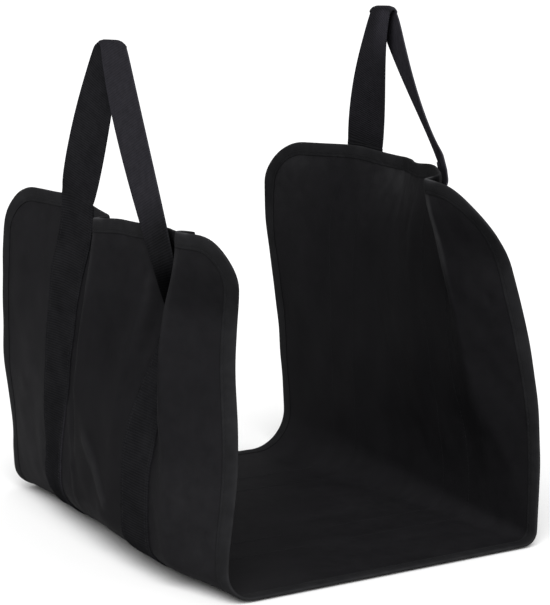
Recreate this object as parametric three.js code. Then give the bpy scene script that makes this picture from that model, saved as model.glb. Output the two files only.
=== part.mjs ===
// Log carrier: a bound canvas panel bent into a standing U, with webbing sewn round it that rises into
// two handles. Millimetres. X runs from the left wall to the right one, Y from the open front to the rear,
// and Z is up.
import * as THREE from 'three';

// Driving sizes
const PANEL = { width: 450, thick: 1.5, corner: 46 };
const WEBBING = { width: 50, thick: 2, offCentre: 100 };
const BINDING = { reach: 13, thick: 1, gap: 0.6 };
const SEWN_GAP = 0.3;
const FOLD_TURN = 12; // panel width over which one zone's heading turns into the next one's
const HANG_FADE = 200; // distance down from the top edge at which the drop of a hanging edge has died away

const HALF_WIDTH = PANEL.width / 2;
const CORNER_CENTRE = HALF_WIDTH - PANEL.corner;
const STRAP_INNER = WEBBING.offCentre - WEBBING.width / 2;
const STRAP_OUTER = WEBBING.offCentre + WEBBING.width / 2;
const FLOOR_HEIGHT = WEBBING.thick + SEWN_GAP + PANEL.thick / 2; // to the middle of the cloth

// Zones that a wall's plan runs through, front to rear, with the panel width that each takes up.
const ZONE_WIDTHS = {
  frontFlap: 70,
  frontFold: 24,
  frontStrap: 62,
  frontRise: 18,
  middle: 85,
  rearFold: 18,
  rearStrap: 73,
  rearFlap: 100,
};
const ZONES = Object.keys(ZONE_WIDTHS);
const ZONE_STARTS = zoneStarts();

// Plan of a wall at a distance down from its top edge, the first number of a row. Out and shift move the
// panel's centre line outwards and rearwards. The other columns are the zones' headings in degrees, above
// zero where the cloth runs outwards as it goes rearwards. A steep heading makes a fold.
const SECTION_COLUMNS = ['out', 'shift', ...ZONES];
const LEFT_SECTIONS = [
  [0, -17, -8, 13, -72, -9, 14, 12, -86, 7, 8],
  [80, -7, -2, 38, -104, -13, 60, 13, -80, 8, 3],
  [190, 11, 0, 35, -28, -1, 11, -3, -45, 0, -3],
  [290, 11, 0, 17, -3, -1, 0, -6, -3, -9, -6],
  [345, 0, 0, 0, 0, 0, 0, 0, 0, 0, 0],
];
const RIGHT_SECTIONS = [
  [0, 4, -12, -9, 80, 26, 7, 26, 7, -13, -26],
  [80, -10, 0, -32, 57, 9, 3, 17, 4, -6, -12],
  [190, -10, 0, -27, 16, 6, 1, 9, 2, -1, -3],
  [300, 0, 0, -2, 2, 0, 0, 0, 0, 0, 0],
  [380, 0, 0, 0, 0, 0, 0, 0, 0, 0, 0],
];

// A wall faces to one side of X. Run is the panel's length from the floor's middle line to the top edge, and
// slant is how much longer it is at the rear edge. Floor is the reach from the middle line to the wall, bend
// the radius between them and hang the drop of the top edge at the places across the panel that are listed
// first. Rows are the spans of mesh rows down from the rounded corners.
const HANG_PLACES = [-200, -155, -100, -8, 45, 115];
const WALLS = {
  left: {
    faces: -1,
    run: 479.7,
    slant: 14,
    floor: { front: 163.7, rear: 188.7 },
    bend: { front: 26, rear: 52 },
    hang: [-1, -1, 8, 9, 13, 0],
    sections: blended(LEFT_SECTIONS),
    rows: [{ to: 106, steps: 4 }, { to: 256, steps: 5 }, { to: 360, steps: 8 }],
  },
  right: {
    faces: 1,
    run: 515.3,
    slant: -9,
    floor: { front: 175.3, rear: 167.3 },
    bend: { front: 12, rear: 45 },
    hang: [13, 7, 0, 5, 6, 0],
    sections: blended(RIGHT_SECTIONS),
    rows: [{ to: 106, steps: 4 }, { to: 306, steps: 6 }, { to: 386, steps: 6 }],
  },
};

// Handles: where the top of the loop lies, the radius at which the webbing turns over there, the heading of
// that crease in degrees and its skew, which is how far it carries the rear leg rearwards. A leg leaves the
// cloth at a distance down from the top edge, below zero where it first stands up past the bound edge, and it
// keeps the seam's direction over the stiff share of its length. Draw is how far sideways it is pulled where
// it leaves the cloth, lean how much more it slopes at the top than its two ends do, and swing how many
// degrees its middle turns outwards.
const HANDLES = {
  left: {
    top: new THREE.Vector3(-158.7, 0, 479),
    roll: 2,
    heading: 0,
    skew: 15,
    front: { seamEnd: 76, stiff: 0.6, draw: 55, lean: 0.85, swing: 11 },
    rear: { seamEnd: -3, stiff: 0.05, draw: 0, lean: 1.25, swing: 9 },
  },
  right: {
    top: new THREE.Vector3(158.3, 17, 509),
    roll: 2.2,
    heading: 13,
    skew: 0,
    front: { seamEnd: -3, stiff: 0.05, draw: 0, lean: 0.6, swing: 7 },
    rear: { seamEnd: -3, stiff: 0.3, draw: 0, lean: 0.8, swing: 0 },
  },
};
const LEG_TWIST = 2; // how late a leg turns from the cloth's plan to the crease at the top, as a power
const LEG_STEPS = 8;
const ROLL_STEPS = 4;

// Mesh columns across the panel: narrow steps where it folds, wide ones where it is plain.
const PLAIN_REACH = 161; // beyond this the columns draw in towards the rounded corners
const COLUMNS = stepped(-HALF_WIDTH, [
  { to: -HALF_WIDTH + BINDING.reach, steps: 1 },
  { to: -PLAIN_REACH, steps: 3 },
  { to: -STRAP_OUTER, steps: 8 },
  { to: -STRAP_INNER, steps: 2 },
  { to: ZONE_STARTS.middle + FOLD_TURN / 2, steps: 6 },
  { to: ZONE_STARTS.rearFold - FOLD_TURN / 2, steps: 3 },
  { to: ZONE_STARTS.rearStrap + FOLD_TURN / 2, steps: 7 },
  { to: STRAP_INNER, steps: 1 },
  { to: STRAP_OUTER, steps: 2 },
  { to: PLAIN_REACH, steps: 2 },
  { to: HALF_WIDTH - BINDING.reach, steps: 3 },
  { to: HALF_WIDTH, steps: 1 },
]);
const CORNER_ANGLES = [0, 15, 30, 45, 60, 75].map(THREE.MathUtils.degToRad);

// Small helpers

function spread(from, to, steps) {
  return Array.from({ length: steps + 1 }, (_, i) => from + ((to - from) * i) / steps);
}

// Places from a start through spans that each end at a place and have a number of even steps.
function stepped(start, spans) {
  const places = [start];
  for (const { to, steps } of spans) {
    places.push(...spread(places.at(-1), to, steps).slice(1));
  }
  return places;
}

// Smooth blend of a table's rows over the distance in their first column.
function blended(rows) {
  const values = Float64Array.from(rows.flatMap((row) => row.slice(1)));
  const blend = new THREE.CubicInterpolant(rows.map((row) => row[0]), values, SECTION_COLUMNS.length);
  blend.settings = { endingStart: THREE.ZeroSlopeEnding, endingEnd: THREE.ZeroSlopeEnding };
  return blend;
}

// Place across the panel at which each zone starts.
function zoneStarts() {
  let at = -HALF_WIDTH;
  return Object.fromEntries(ZONES.map((name) => {
    const start = at;
    at += ZONE_WIDTHS[name];
    return [name, start];
  }));
}

function smooth(t) {
  return THREE.MathUtils.smoothstep(t, 0, 1);
}

// The panel's middle surface

function sectionAt(wall, down) {
  const values = wall.sections.evaluate(down);
  return Object.fromEntries(SECTION_COLUMNS.map((name, i) => [name, values[i]]));
}

// Heading of the cloth at a place across the panel, turning smoothly at the zones' edges.
function headingAt(section, across) {
  let heading = section[ZONES[0]];
  for (const [i, zone] of ZONES.slice(1).entries()) {
    const turn = section[zone] - section[ZONES[i]];
    heading += turn * smooth((across - ZONE_STARTS[zone]) / FOLD_TURN + 0.5);
  }
  return THREE.MathUtils.degToRad(heading);
}

// Plan curve of a wall, walked along the cloth in 1 mm steps from the centre line to past both side edges.
const WALK = HALF_WIDTH + 5;
const plans = new Map();

function planAt(wall, down) {
  const key = `${wall.faces} ${down.toFixed(4)}`;
  if (plans.has(key)) return plans.get(key);
  const section = sectionAt(wall, down);
  const plan = { 0: { rear: section.shift, out: section.out } };
  for (const way of [-1, 1]) {
    let { rear, out } = plan[0];
    for (let step = 1; step <= WALK; step += 1) {
      const heading = headingAt(section, way * (step - 0.5));
      rear += way * Math.cos(heading);
      out += way * Math.sin(heading);
      plan[way * step] = { rear, out };
    }
  }
  plans.set(key, plan);
  return plan;
}

function runAt(wall, across) {
  return wall.run + (wall.slant * across) / HALF_WIDTH;
}

// Drop of a wall's top edge, which changes smoothly from one of the listed places to the next.
function hangAt(wall, down, across) {
  let drop = wall.hang[0];
  for (const [i, place] of HANG_PLACES.slice(1).entries()) {
    const share = smooth((across - HANG_PLACES[i]) / (place - HANG_PLACES[i]));
    drop += (wall.hang[i + 1] - wall.hang[i]) * share;
  }
  return drop * (1 - smooth(down / HANG_FADE));
}

// Point of the cloth's middle surface at a distance down from a wall's top edge, at a place across the panel.
function panelPoint(wall, down, across) {
  const plan = planAt(wall, down);
  const low = Math.floor(across);
  const part = across - low;
  const rear = THREE.MathUtils.lerp(plan[low].rear, plan[low + 1].rear, part);
  const out = THREE.MathUtils.lerp(plan[low].out, plan[low + 1].out, part);
  const rearwards = (across + HALF_WIDTH) / PANEL.width;
  const bend = THREE.MathUtils.lerp(wall.bend.front, wall.bend.rear, smooth(rearwards));
  const flat = THREE.MathUtils.lerp(wall.floor.front, wall.floor.rear, rearwards) - bend;
  const along = runAt(wall, across) - down;
  const angle = THREE.MathUtils.clamp((along - flat) / bend, 0, Math.PI / 2);
  const rise = Math.max(along - flat - (bend * Math.PI) / 2, 0);
  const x = Math.min(along, flat) + bend * Math.sin(angle) + out * Math.sin(angle);
  const z = FLOOR_HEIGHT + bend * (1 - Math.cos(angle)) + rise - hangAt(wall, down, across);
  return new THREE.Vector3(wall.faces * x, rear, z);
}

// Unit normal of the cloth, pointing out of the U.
function panelNormal(wall, down, across) {
  const step = 0.5;
  const downwards = panelPoint(wall, down + step, across).sub(panelPoint(wall, down - step, across));
  const rearwards = panelPoint(wall, down, across + step).sub(panelPoint(wall, down, across - step));
  return downwards.cross(rearwards).multiplyScalar(wall.faces).normalize();
}

function panelOffset(wall, down, across, out) {
  return panelPoint(wall, down, across).addScaledVector(panelNormal(wall, down, across), out);
}

// Closed meshes

// Geometry of a closed body from its vertices and triangles, turned to face out.
function closedGeometry(vertices, triangles) {
  const volume = triangles.reduce((sum, [a, b, c]) => {
    const cross = new THREE.Vector3().crossVectors(vertices[b], vertices[c]);
    return sum + vertices[a].dot(cross);
  }, 0);
  const facing = volume > 0 ? triangles : triangles.map(([a, b, c]) => [a, c, b]);
  const geometry = new THREE.BufferGeometry().setFromPoints(vertices);
  geometry.setIndex(facing.flat());
  geometry.computeVertexNormals();
  return geometry;
}

function quad(a, b, c, d) {
  return [[a, b, c], [a, c, d]];
}

// Solid between two grids of points that lie face to face, with a rim round their edge.
function slab(outer, inner) {
  const rows = outer.length;
  const columns = outer[0].length;
  const half = rows * columns;
  const at = (row, column) => row * columns + column;
  const triangles = [];
  for (let i = 0; i < rows - 1; i += 1) {
    for (let j = 0; j < columns - 1; j += 1) {
      const face = [at(i, j), at(i + 1, j), at(i + 1, j + 1), at(i, j + 1)];
      triangles.push(...quad(...face));
      triangles.push(...quad(...face.map((k) => k + half).reverse()));
    }
  }
  const rim = [
    ...spread(0, columns - 1, columns - 1).map((j) => at(0, j)),
    ...spread(1, rows - 1, rows - 2).map((i) => at(i, columns - 1)),
    ...spread(columns - 2, 0, columns - 2).map((j) => at(rows - 1, j)),
    ...spread(rows - 2, 1, rows - 3).map((i) => at(i, 0)),
  ];
  rim.forEach((here, k) => {
    const next = rim[(k + 1) % rim.length];
    triangles.push(...quad(here, next, next + half, here + half));
  });
  return closedGeometry([...outer.flat(), ...inner.flat()], triangles);
}

// Solid swept round a closed row of profiles with the same number of points.
function ring(profiles) {
  const count = profiles[0].length;
  const triangles = [];
  profiles.forEach((_, i) => {
    const next = (i + 1) % profiles.length;
    for (let j = 0; j < count; j += 1) {
      const k = (j + 1) % count;
      triangles.push(...quad(i * count + j, next * count + j, next * count + k, i * count + k));
    }
  });
  return closedGeometry(profiles.flat(), triangles);
}

// Canvas panel

// Column's place across the panel, drawn in where the corners are rounded.
function drawnIn(column, down) {
  const short = Math.max(PANEL.corner - down, 0);
  const edge = CORNER_CENTRE + Math.sqrt(PANEL.corner ** 2 - short ** 2);
  const past = Math.abs(column) - PLAIN_REACH;
  if (past <= 0) return column;
  return Math.sign(column) * (PLAIN_REACH + (past * (edge - PLAIN_REACH)) / (HALF_WIDTH - PLAIN_REACH));
}

// Distances down from a wall's top edge of its mesh rows, closer together round the corners.
function wallRows(wall) {
  const corner = CORNER_ANGLES.map((angle) => PANEL.corner * (1 - Math.cos(angle)));
  return [...corner, ...stepped(PANEL.corner, wall.rows)];
}

// Mesh rows from the left top edge down, over the floor and up to the right one.
const PANEL_ROWS = [
  ...wallRows(WALLS.left).map((down) => ({ wall: WALLS.left, down: () => down })),
  { wall: WALLS.left, down: (across) => runAt(WALLS.left, across) },
  ...wallRows(WALLS.right).map((down) => ({ wall: WALLS.right, down: () => down })).reverse(),
];

function canvasPanel() {
  const side = (out) => PANEL_ROWS.map(({ wall, down }) => COLUMNS.map((column) => {
    const across = drawnIn(column, down(column));
    return panelOffset(wall, down(across), across, out);
  }));
  return slab(side(PANEL.thick / 2), side(-PANEL.thick / 2));
}

// Edge binding: tape folded over the panel's edge, seen as a channel at each station round the outline.

const INNER_FACE = PANEL.thick / 2 + BINDING.gap;
const OUTER_FACE = INNER_FACE + BINDING.thick;
const CHANNEL = [
  { inset: BINDING.reach, out: OUTER_FACE },
  { inset: -BINDING.gap - BINDING.thick, out: OUTER_FACE },
  { inset: -BINDING.gap - BINDING.thick, out: -OUTER_FACE },
  { inset: BINDING.reach, out: -OUTER_FACE },
  { inset: BINDING.reach, out: -INNER_FACE },
  { inset: -BINDING.gap, out: -INNER_FACE },
  { inset: -BINDING.gap, out: INNER_FACE },
  { inset: BINDING.reach, out: INNER_FACE },
];

// A station is a function from a distance inside the panel's edge to a place on the panel.
function topStations(wall) {
  return COLUMNS.map((column) => (inset) => ({ wall, down: inset, across: drawnIn(column, 0) }));
}

function cornerStations(wall, side) {
  return CORNER_ANGLES.slice(1).map((angle) => (inset) => ({
    wall,
    down: PANEL.corner - (PANEL.corner - inset) * Math.cos(angle),
    across: side * (CORNER_CENTRE + (PANEL.corner - inset) * Math.sin(angle)),
  }));
}

function sideStations(side) {
  const straight = PANEL_ROWS.slice(CORNER_ANGLES.length, -CORNER_ANGLES.length);
  return straight.map(({ wall, down }) => (inset) => {
    const across = side * (HALF_WIDTH - inset);
    return { wall, down: down(across), across };
  });
}

function edgeBinding() {
  const { left, right } = WALLS;
  const stations = [
    ...topStations(left),
    ...cornerStations(left, 1),
    ...sideStations(1),
    ...cornerStations(right, 1).reverse(),
    ...topStations(right).reverse(),
    ...cornerStations(right, -1),
    ...sideStations(-1).reverse(),
    ...cornerStations(left, -1).reverse(),
  ];
  return ring(stations.map((station) => CHANNEL.map(({ inset, out }) => {
    const { wall, down, across } = station(inset);
    return panelOffset(wall, down, across, out);
  })));
}

// Webbing straps: each runs from under the floor up one wall, over its handle and back down to the floor.

const EDGES = [-WEBBING.width / 2, 0, WEBBING.width / 2];

// Middle of the webbing off the middle of the cloth, rising over the bound top edge.
function riseAt(down) {
  const overEdge = smooth((PANEL.corner - down) / (PANEL.corner - BINDING.reach));
  return (PANEL.thick + WEBBING.thick) / 2 + SEWN_GAP + (BINDING.gap + BINDING.thick) * overEdge;
}

// Rows of the sewn stretch, from the floor's middle line up to the end of the seam.
function sewnRows(wall, centre, seamEnd) {
  const between = wallRows(wall).filter((down) => down > seamEnd + 1).reverse();
  const start = (across) => runAt(wall, across) - SEWN_GAP / 2;
  const downs = [...between, seamEnd].map((down) => () => down);
  return [start, ...downs].map((down) => EDGES.map((edge) => {
    const across = centre + edge;
    return panelOffset(wall, down(across), across, riseAt(down(across)));
  }));
}

// Rows of a free leg, from the end of its seam up to where it turns over at the top of the handle.
function legRows(wall, sewn, top, { stiff, draw, lean, swing }) {
  const [before, end] = sewn.slice(-2);
  const [from, to] = [end[1], top[1]];
  const length = from.distanceTo(to);
  const slope = (lean * (to.y - from.y)) / (to.z - from.z);
  const leave = from.clone().sub(before[1]).setLength(stiff * length);
  leave.x += wall.faces * draw;
  const arrive = new THREE.Vector3(0, slope, 1).setLength(length);
  const centre = (t) => hermite(from, leave, to, arrive, t);
  const widths = [end, top].map((row) => row[2].clone().sub(row[0]));
  return spread(1, LEG_STEPS - 1, LEG_STEPS - 2).map((step) => {
    const t = step / LEG_STEPS;
    const upwards = centre(t + 0.01).sub(centre(t - 0.01)).normalize();
    const turned = THREE.MathUtils.degToRad(swing) * Math.sin(Math.PI * t);
    const over = widths[0].clone().lerp(widths[1], smooth(t) ** LEG_TWIST);
    over.projectOnPlane(upwards).normalize().applyAxisAngle(upwards, -wall.faces * turned);
    return EDGES.map((edge) => centre(t).addScaledVector(over, edge));
  });
}

function hermite(from, leave, to, arrive, t) {
  const [t2, t3] = [t * t, t * t * t];
  return new THREE.Vector3()
    .addScaledVector(from, 2 * t3 - 3 * t2 + 1)
    .addScaledVector(leave, t3 - 2 * t2 + t)
    .addScaledVector(to, 3 * t2 - 2 * t3)
    .addScaledVector(arrive, t3 - t2);
}

// Rows of the turn at the top of a handle, from the outer, front leg over to the inner, rear leg.
function rollRows(wall, { top, roll, heading, skew }, frontEnd, rearEnd) {
  const slope = (rearEnd.y - frontEnd.y) / (2 * top.z - frontEnd.z - rearEnd.z);
  const swing = wall.faces * THREE.MathUtils.degToRad(heading);
  const rearwards = new THREE.Vector3(Math.sin(swing), Math.cos(swing), 0);
  const outwards = new THREE.Vector3(Math.cos(swing), -Math.sin(swing), 0).multiplyScalar(wall.faces);
  const widen = Math.hypot(1, slope);
  const drift = slope * roll + skew / Math.PI;
  return spread(0, Math.PI, ROLL_STEPS).map((turn) => EDGES.map((edge) => top.clone()
    .addScaledVector(rearwards, edge * widen + drift * (turn - Math.PI / 2))
    .addScaledVector(outwards, roll * Math.cos(turn))
    .add(new THREE.Vector3(0, 0, roll * Math.sin(turn)))));
}

// Solid ribbon about rows of points on its middle surface.
function ribbon(rows) {
  const normals = rows.map((row, i) => row.map((_, j) => {
    const along = rows[Math.min(i + 1, rows.length - 1)][j].clone().sub(rows[Math.max(i - 1, 0)][j]);
    const over = row[Math.min(j + 1, row.length - 1)].clone().sub(row[Math.max(j - 1, 0)]);
    return along.cross(over).normalize();
  }));
  const side = (out) => rows.map((row, i) => row.map((point, j) => (
    point.clone().addScaledVector(normals[i][j], out)
  )));
  return slab(side(WEBBING.thick / 2), side(-WEBBING.thick / 2));
}

function strap(wall, handle) {
  const front = sewnRows(wall, -WEBBING.offCentre, handle.front.seamEnd);
  const rear = sewnRows(wall, WEBBING.offCentre, handle.rear.seamEnd);
  const roll = rollRows(wall, handle, front.at(-1)[1], rear.at(-1)[1]);
  return ribbon([
    ...front,
    ...legRows(wall, front, roll[0], handle.front),
    ...roll,
    ...legRows(wall, rear, roll.at(-1), handle.rear).reverse(),
    ...rear.reverse(),
  ]);
}

// Assembly

function piece(name, geometry, color, roughness) {
  const mesh = new THREE.Mesh(geometry, new THREE.MeshStandardMaterial({ color, roughness, metalness: 0 }));
  mesh.name = name;
  return mesh;
}

const carrier = new THREE.Group();
carrier.add(piece('canvas_panel', canvasPanel(), '#232325', 0.75));
carrier.add(piece('edge_binding', edgeBinding(), '#1d1d1f', 0.7));
carrier.add(piece('left_strap', strap(WALLS.left, HANDLES.left), '#27272a', 0.65));
carrier.add(piece('right_strap', strap(WALLS.right, HANDLES.right), '#27272a', 0.65));

export default carrier;
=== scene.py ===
# Log carrier: one sheet of black waxed canvas, bound round its edge and bent into a U, with webbing sewn
# round it that rises into two handles. Sizes are in millimetres, and the meshes are scaled to metres.
import math

import bpy
import numpy as np
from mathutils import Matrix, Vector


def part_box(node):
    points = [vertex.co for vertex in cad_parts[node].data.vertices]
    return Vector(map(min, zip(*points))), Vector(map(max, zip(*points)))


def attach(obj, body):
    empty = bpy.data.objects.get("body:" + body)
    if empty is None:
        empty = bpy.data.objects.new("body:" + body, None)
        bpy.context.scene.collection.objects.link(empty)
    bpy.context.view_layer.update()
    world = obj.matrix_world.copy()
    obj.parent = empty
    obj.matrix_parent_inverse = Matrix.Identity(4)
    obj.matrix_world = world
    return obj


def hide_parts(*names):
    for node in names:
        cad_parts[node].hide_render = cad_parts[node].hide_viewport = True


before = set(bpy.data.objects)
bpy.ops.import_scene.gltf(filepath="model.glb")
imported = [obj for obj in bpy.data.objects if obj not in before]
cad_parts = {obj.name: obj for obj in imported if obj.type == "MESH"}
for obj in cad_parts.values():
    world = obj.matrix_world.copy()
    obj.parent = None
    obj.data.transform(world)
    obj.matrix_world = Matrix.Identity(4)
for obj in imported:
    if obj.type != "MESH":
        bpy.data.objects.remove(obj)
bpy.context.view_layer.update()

# Canvas panel: one sheet of heavy waxed canvas with rounded corners, bent into a standing U. The webbing
# sewn to it stiffens it, and it is pinched into pleats where the handles draw it in.
MM = 0.001
PANEL_WIDTH = 450.0
PANEL_THICK = 1.5
CORNER = 46.0
HALF_WIDTH = PANEL_WIDTH / 2
CORNER_CENTRE = HALF_WIDTH - CORNER
FLOOR_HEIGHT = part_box("canvas_panel")[0].z / MM + PANEL_THICK / 2
FOLD_TURN = 12.0  # panel width over which one zone's heading turns into the next one's
HANG_FADE = 200.0  # distance down from the top edge at which the drop of a hanging edge has died away

# Zones that a wall's plan runs through, front to rear, with the panel width that each takes up.
ZONE_WIDTHS = {
    "front_flap": 70.0,
    "front_fold": 24.0,
    "front_strap": 62.0,
    "front_rise": 18.0,
    "middle": 85.0,
    "rear_fold": 18.0,
    "rear_strap": 73.0,
    "rear_flap": 100.0,
}
ZONE_EDGES = np.cumsum([0.0, *ZONE_WIDTHS.values()]) - HALF_WIDTH
ZONE_STARTS = dict(zip(ZONE_WIDTHS, ZONE_EDGES))

# Plan of a wall by distance down from its top edge: that distance, how far the panel's centre line lies
# outwards and rearwards, and then each zone's heading in degrees, above zero where the cloth runs outwards
# as it goes rearwards.
LEFT_SECTIONS = [
    [0, -17, -8, 13, -72, -9, 14, 12, -86, 7, 8],
    [80, -7, -2, 38, -104, -13, 60, 13, -80, 8, 3],
    [190, 11, 0, 35, -28, -1, 11, -3, -45, 0, -3],
    [290, 11, 0, 17, -3, -1, 0, -6, -3, -9, -6],
    [345, 0, 0, 0, 0, 0, 0, 0, 0, 0, 0],
]
RIGHT_SECTIONS = [
    [0, 4, -12, -9, 80, 26, 7, 26, 7, -13, -26],
    [80, -10, 0, -32, 57, 9, 3, 17, 4, -6, -12],
    [190, -10, 0, -27, 16, 6, 1, 9, 2, -1, -3],
    [300, 0, 0, -2, 2, 0, 0, 0, 0, 0, 0],
    [380, 0, 0, 0, 0, 0, 0, 0, 0, 0, 0],
]
PLAN_DEPTH = 400
PLAN_REACH = 245


def smooth(t):
    t = np.clip(t, 0.0, 1.0)
    return t * t * (3.0 - 2.0 * t)


def fade(value, start, end):
    """Zero up to a start and one from an end on, smoothly between them."""
    return smooth((value - start) / (end - start))


def near(distance, spread):
    """One where a distance is zero, falling to zero within a few spreads."""
    return np.exp(-((distance / spread) ** 2))


def hermite(t, start, leave, end, arrive):
    return (
        (2 * t**3 - 3 * t**2 + 1) * start
        + (t**3 - 2 * t**2 + t) * leave
        + (3 * t**2 - 2 * t**3) * end
        + (t**3 - t**2) * arrive
    )


def blended(sections, downs):
    """The sections' columns at each distance down, level at the first and last section."""
    rows = np.array(sections, float)
    knots, values = rows[:, 0], rows[:, 1:]
    secants = np.diff(values, axis=0) / np.diff(knots)[:, None]
    slopes = np.zeros_like(values)
    slopes[1:-1] = (secants[1:] + secants[:-1]) / 2
    low = np.clip(np.searchsorted(knots, downs, side="right") - 1, 0, len(knots) - 2)
    span = (knots[low + 1] - knots[low])[:, None]
    t = np.clip((downs - knots[low])[:, None] / span, 0.0, 1.0)
    return hermite(t, values[low], slopes[low] * span, values[low + 1], slopes[low + 1] * span)


def plan_table(sections):
    """Rearward and outward places of the cloth, for each millimetre down a wall and across the panel."""
    values = blended(sections, np.arange(PLAN_DEPTH + 1.0))
    headings = values[:, 2:]
    middles = np.arange(-PLAN_REACH, PLAN_REACH) + 0.5
    heading = np.repeat(headings[:, :1], len(middles), axis=1)
    for zone, start in enumerate(ZONE_EDGES[1:-1], start=1):
        turn = headings[:, zone] - headings[:, zone - 1]
        heading += turn[:, None] * smooth((middles - start) / FOLD_TURN + 0.5)
    heading = np.radians(heading)
    walks = []
    for step, offset in ((np.cos(heading), values[:, 1]), (np.sin(heading), values[:, 0])):
        walk = np.pad(np.cumsum(step, axis=1), ((0, 0), (1, 0)))
        walks.append(walk - walk[:, PLAN_REACH : PLAN_REACH + 1] + offset[:, None])
    return walks


# Creases that the cloth keeps, each with its two ends down a wall and across the panel, its height towards
# the outside of the U, and its half width.
LEFT_CREASES = [
    ((205, 70), (256, 44), 1.6, 6),
    ((256, 44), (300, 33), 1.5, 6),
    ((220, 6), (268, -40), 2.2, 6),
    ((15, 6), (150, -22), -1.8, 20),
    ((150, -22), (250, -10), -1.2, 18),
    ((30, -40), (110, -50), 0.8, 16),
    ((90, 160), (240, 118), -1.3, 22),
    ((55, 196), (190, 172), 0.9, 16),
    ((215, -132), (300, -158), 1.2, 9),
    ((250, -60), (305, -92), 1.0, 10),
    ((230, 150), (290, 128), 1.0, 9),
]
RIGHT_CREASES = [
    ((70, -181), (112, -173), -0.7, 4),
    ((40, 150), (110, 168), -0.9, 20),
    ((30, 30), (150, 10), 1.0, 26),
    ((60, -60), (170, -74), -0.8, 20),
    ((112, -196), (119, -194), 1.3, 3),
    ((78, 103), (80, 101), 1.2, 3),
    ((71, 67), (74, 65), 1.2, 3),
    ((200, 110), (280, 60), -0.9, 16),
    ((190, -150), (270, -182), -1.0, 12),
]

# Patches of painted light on the cloth, and of painted shade where the amount is below zero: the place down
# and across, how far it reaches, and the amount.
LEFT_PATCHES = [
    ((250, 165), 90, 0.42),
    ((150, 170), 70, 0.08),
    ((260, 0), 70, -0.22),
    ((110, -15), 60, -0.16),
    ((270, -190), 80, 0.2),
    ((130, -185), 60, -0.12),
]
RIGHT_PATCHES = [
    ((20, 165), 45, 0.3),
    ((22, 45), 24, 0.45),
    ((25, 10), 24, 0.5),
    ((28, -25), 22, 0.4),
    ((22, 138), 34, -0.34),
    ((85, -70), 60, -0.22),
    ((100, 55), 60, -0.12),
    ((45, 30), 50, 0.15),
    ((80, -195), 70, -0.18),
    ((170, -185), 80, -0.16),
]

# A wall faces to one side of X. Run is the panel's length from the floor's middle line to the top edge, and
# slant is how much longer it is at the rear edge. Floor is the reach from the middle line to the wall and
# bend the radius between them, each at the front and the rear. Hang is the top edge's drop at the places
# across the panel that are listed first. Plan, creases and patches are given above. The last two are how
# much paler the cloth is beside its bound edge and along its folds, partly from wear and partly from painted
# light.
HANG_PLACES = (-200.0, -155.0, -100.0, -8.0, 45.0, 115.0)
WALLS = {
    "left": {
        "faces": -1,
        "run": 479.7,
        "slant": 14.0,
        "floor": (163.7, 188.7),
        "bend": (26.0, 52.0),
        "hang": (-1.0, -1.0, 8.0, 9.0, 13.0, 0.0),
        "plan": plan_table(LEFT_SECTIONS),
        "creases": LEFT_CREASES,
        "patches": LEFT_PATCHES,
        "rubbed_and_lit": 0.1,
        "crests": 0.4,
    },
    "right": {
        "faces": 1,
        "run": 515.3,
        "slant": -9.0,
        "floor": (175.3, 167.3),
        "bend": (12.0, 45.0),
        "hang": (13.0, 7.0, 0.0, 5.0, 6.0, 0.0),
        "plan": plan_table(RIGHT_SECTIONS),
        "creases": RIGHT_CREASES,
        "patches": RIGHT_PATCHES,
        "rubbed_and_lit": 0.25,
        "crests": 1.6,
    },
}
PANEL_LENGTH = WALLS["left"]["run"] + WALLS["right"]["run"]


def run_at(wall, across):
    """The panel's length from the floor's middle line to a wall's top edge."""
    return wall["run"] + wall["slant"] * across / HALF_WIDTH


def hang_at(wall, down, across):
    """Drop of a wall's top edge at places across the panel."""
    knots = np.array(HANG_PLACES)
    drops = np.array(wall["hang"])
    low = np.clip(np.searchsorted(knots, across) - 1, 0, len(knots) - 2)
    share = smooth((across - knots[low]) / (knots[low + 1] - knots[low]))
    drop = drops[low] + (drops[low + 1] - drops[low]) * share
    return drop * (1.0 - fade(down, 0.0, HANG_FADE))


def plan_at(table, down, across):
    """A plan's places between its millimetres."""
    row = np.clip(down, 0.0, PLAN_DEPTH - 1e-6)
    column = across + PLAN_REACH
    i, j = np.floor(row).astype(int), np.floor(column).astype(int)
    s, t = row - i, column - j
    upper = table[i, j] * (1 - t) + table[i, j + 1] * t
    lower = table[i + 1, j] * (1 - t) + table[i + 1, j + 1] * t
    return upper * (1 - s) + lower * s


def smooth_cloth(wall, down, across):
    """Places on the middle of the cloth, at distances down from a wall's top edge and across the panel."""
    rear, out = (plan_at(table, down, across) for table in wall["plan"])
    rearwards = (across + HALF_WIDTH) / PANEL_WIDTH
    bend = wall["bend"][0] + (wall["bend"][1] - wall["bend"][0]) * smooth(rearwards)
    flat = wall["floor"][0] + (wall["floor"][1] - wall["floor"][0]) * rearwards - bend
    along = run_at(wall, across) - down
    angle = np.clip((along - flat) / bend, 0.0, math.pi / 2)
    rise = np.maximum(along - flat - bend * math.pi / 2, 0.0)
    x = np.minimum(along, flat) + (bend + out) * np.sin(angle)
    z = FLOOR_HEIGHT + bend * (1 - np.cos(angle)) + rise - hang_at(wall, down, across)
    return np.stack([wall["faces"] * x, rear, z], axis=-1)


def unit(vectors):
    return vectors / np.linalg.norm(vectors, axis=-1, keepdims=True)


def cloth_normal(wall, down, across, step=1.5):
    """Directions straight out of the U."""
    downwards = smooth_cloth(wall, down + step, across) - smooth_cloth(wall, down - step, across)
    rearwards = smooth_cloth(wall, down, across + step) - smooth_cloth(wall, down, across - step)
    return wall["faces"] * unit(np.cross(downwards, rearwards))


def edge_at(down):
    """How far across the panel reaches, which is less round its corners."""
    short = np.clip(CORNER - down, 0.0, CORNER)
    return CORNER_CENTRE + np.sqrt(CORNER**2 - short**2)


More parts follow.
